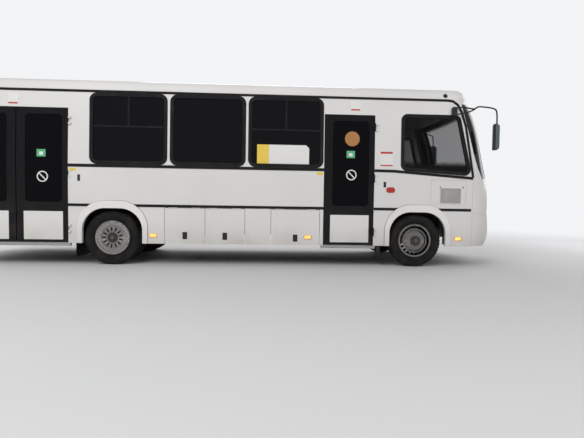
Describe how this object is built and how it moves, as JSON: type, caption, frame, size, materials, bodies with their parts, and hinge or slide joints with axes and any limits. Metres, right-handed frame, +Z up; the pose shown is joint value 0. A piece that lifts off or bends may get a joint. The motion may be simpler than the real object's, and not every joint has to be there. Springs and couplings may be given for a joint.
{
  "type": "single-deck midibus",
  "caption": "Single-deck midibus with swing-out entrance doors, locker lids, roof hatches, steered front wheels and twin rear wheels.",
  "frame": {"origin": "On the road under the middle of the length and of the width.", "axes": "+X to the front along the length, +Y to the left side, +Z up."},
  "size_m": [8.8026, 2.904, 2.912],
  "materials": {
    "frame_black": "satin chassis black",
    "floor_vinyl": "grey speckled floor vinyl on ply",
    "cast_iron": "rough casting",
    "cab_plastic": "grained moulding",
    "axle_black": "painted forging",
    "spring_steel": "dark spring steel",
    "shaft_steel": "dull steel tube",
    "tank_paint": "black painted steel",
    "body_white": "gloss off-white body paint",
    "grille_grey": "grey moulded grille",
    "moulding_white": "gloss off-white moulding",
    "screen_glass": "clear laminated glass",
    "tinted_glass": "dark tinted glass",
    "black_rubber": "black rubber",
    "sill_aluminium": "bright aluminium",
    "lamp_lens": "lamp lenses",
    "black_plastic": "grained black plastic",
    "seat_fabric": "woven seat cloth",
    "frame_grey": "grey powder coat",
    "rail_yellow": "yellow powder coat",
    "door_black": "gloss black frame",
    "amber_lens": "amber lens",
    "wheel_bright": "polished wheel face",
    "tyre_rubber": "tyre rubber"
  },
  "bodies": {
    "body": {"chassis_frame": "frame_black", "floor_deck": "floor_vinyl", "wheel_boxes": "floor_vinyl", "step_wells": "floor_vinyl", "engine_block": "cast_iron", "engine_hood": "cab_plastic", "front_axle": "axle_black", "rear_axle": "axle_black", "leaf_springs": "spring_steel", "propshaft": "shaft_steel", "fuel_tank": "tank_paint", "right_wall": "body_white", "vent_grille": "grille_grey", "left_wall": "body_white", "roof": "body_white", "front_mask": "moulding_white", "front_bumper": "moulding_white", "windscreen": "screen_glass", "rear_panel": "moulding_white", "rear_bumper": "moulding_white", "body_glazing": "tinted_glass", "window_rubbers": "black_rubber", "black_strips": "black_rubber", "arch_trims": "moulding_white", "door_sills": "sill_aluminium", "mudflaps": "black_rubber", "lamps": "lamp_lens", "mirrors": "black_plastic", "wipers": "black_plastic", "dashboard": "cab_plastic", "steering_wheel": "black_plastic", "driver_seat": "seat_fabric", "passenger_seats": "seat_fabric", "seat_frames": "frame_grey", "driver_partition": "cab_plastic", "handrails": "rail_yellow"},
    "front_door": {"front_door": "door_black", "front_door_glass": "tinted_glass"},
    "rear_door_front_leaf": {"rear_door_front_leaf": "door_black", "rear_door_front_leaf_glass": "tinted_glass"},
    "rear_door_rear_leaf": {"rear_door_rear_leaf": "door_black", "rear_door_rear_leaf_glass": "tinted_glass"},
    "right_locker_lid_rear": {"right_locker_lid_rear": "body_white"},
    "right_locker_lid_middle": {"right_locker_lid_middle": "body_white"},
    "right_locker_lid_front": {"right_locker_lid_front": "body_white", "lid_marker_lamp": "amber_lens"},
    "left_locker_lid": {"left_locker_lid": "body_white"},
    "roof_hatch_front": {"roof_hatch_front": "moulding_white"},
    "roof_hatch_rear": {"roof_hatch_rear": "moulding_white"},
    "left_knuckle": {"left_knuckle": "axle_black"},
    "front_left_wheel": {"front_left_rim": "wheel_bright", "front_left_tyre": "tyre_rubber"},
    "rear_left_wheels": {"rear_left_rims": "wheel_bright", "rear_left_tyres": "tyre_rubber"},
    "right_knuckle": {"right_knuckle": "axle_black"},
    "front_right_wheel": {"front_right_rim": "wheel_bright", "front_right_tyre": "tyre_rubber"},
    "rear_right_wheels": {"rear_right_rims": "wheel_bright", "rear_right_tyres": "tyre_rubber"}
  },
  "joints": [
    {"name": "steer_left", "type": "hinge", "parent": "body", "child": "left_knuckle", "pos_m": [3.0525, 0.88, 0.42], "axis": [0, 0, 1], "range_deg": [-35, 35]},
    {"name": "roll_front_left", "type": "hinge", "parent": "left_knuckle", "child": "front_left_wheel", "pos_m": [3.0525, 1.046, 0.419], "axis": [0, 1, 0], "continuous": true},
    {"name": "roll_rear_left", "type": "hinge", "parent": "body", "child": "rear_left_wheels", "pos_m": [-1.7075, 0.909, 0.419], "axis": [0, 1, 0], "continuous": true},
    {"name": "steer_right", "type": "hinge", "parent": "body", "child": "right_knuckle", "pos_m": [3.0525, -0.88, 0.42], "axis": [0, 0, 1], "range_deg": [-35, 35]},
    {"name": "roll_front_right", "type": "hinge", "parent": "right_knuckle", "child": "front_right_wheel", "pos_m": [3.0525, -1.046, 0.419], "axis": [0, 1, 0], "continuous": true},
    {"name": "roll_rear_right", "type": "hinge", "parent": "body", "child": "rear_right_wheels", "pos_m": [-1.7075, -0.909, 0.419], "axis": [0, 1, 0], "continuous": true},
    {"name": "open_front_door", "type": "hinge", "parent": "body", "child": "front_door", "pos_m": [2.3625, -1.229, 1.36], "axis": [0, 0, 1], "range_deg": [0, 90]},
    {"name": "open_rear_door_front_leaf", "type": "hinge", "parent": "body", "child": "rear_door_front_leaf", "pos_m": [-2.3475, -1.229, 1.36], "axis": [0, 0, 1], "range_deg": [0, 90]},
    {"name": "open_rear_door_rear_leaf", "type": "hinge", "parent": "body", "child": "rear_door_rear_leaf", "pos_m": [-3.8875, -1.229, 1.36], "axis": [0, 0, -1], "range_deg": [0, 90]},
    {"name": "open_right_locker_lid_rear", "type": "hinge", "parent": "body", "child": "right_locker_lid_rear", "pos_m": [-0.5885, -1.217, 0.892], "axis": [-1, 0, 0], "range_deg": [0, 90]},
    {"name": "open_right_locker_lid_middle", "type": "hinge", "parent": "body", "child": "right_locker_lid_middle", "pos_m": [0.029, -1.217, 0.892], "axis": [-1, 0, 0], "range_deg": [0, 90]},
    {"name": "open_right_locker_lid_front", "type": "hinge", "parent": "body", "child": "right_locker_lid_front", "pos_m": [1.124, -1.217, 0.892], "axis": [-1, 0, 0], "range_deg": [0, 90]},
    {"name": "open_left_locker_lid", "type": "hinge", "parent": "body", "child": "left_locker_lid", "pos_m": [0.2275, 1.217, 0.892], "axis": [1, 0, 0], "range_deg": [0, 90]},
    {"name": "open_roof_hatch_front", "type": "hinge", "parent": "body", "child": "roof_hatch_front", "pos_m": [1.5325, 0, 2.8865], "axis": [0, -1, 0], "range_deg": [0, 70]},
    {"name": "open_roof_hatch_rear", "type": "hinge", "parent": "body", "child": "roof_hatch_rear", "pos_m": [-2.3675, 0, 2.8865], "axis": [0, -1, 0], "range_deg": [0, 70]}
  ],
  "couplings": [
    {"joint": "steer_right", "follows": "steer_left", "ratio": 1}
  ]
}
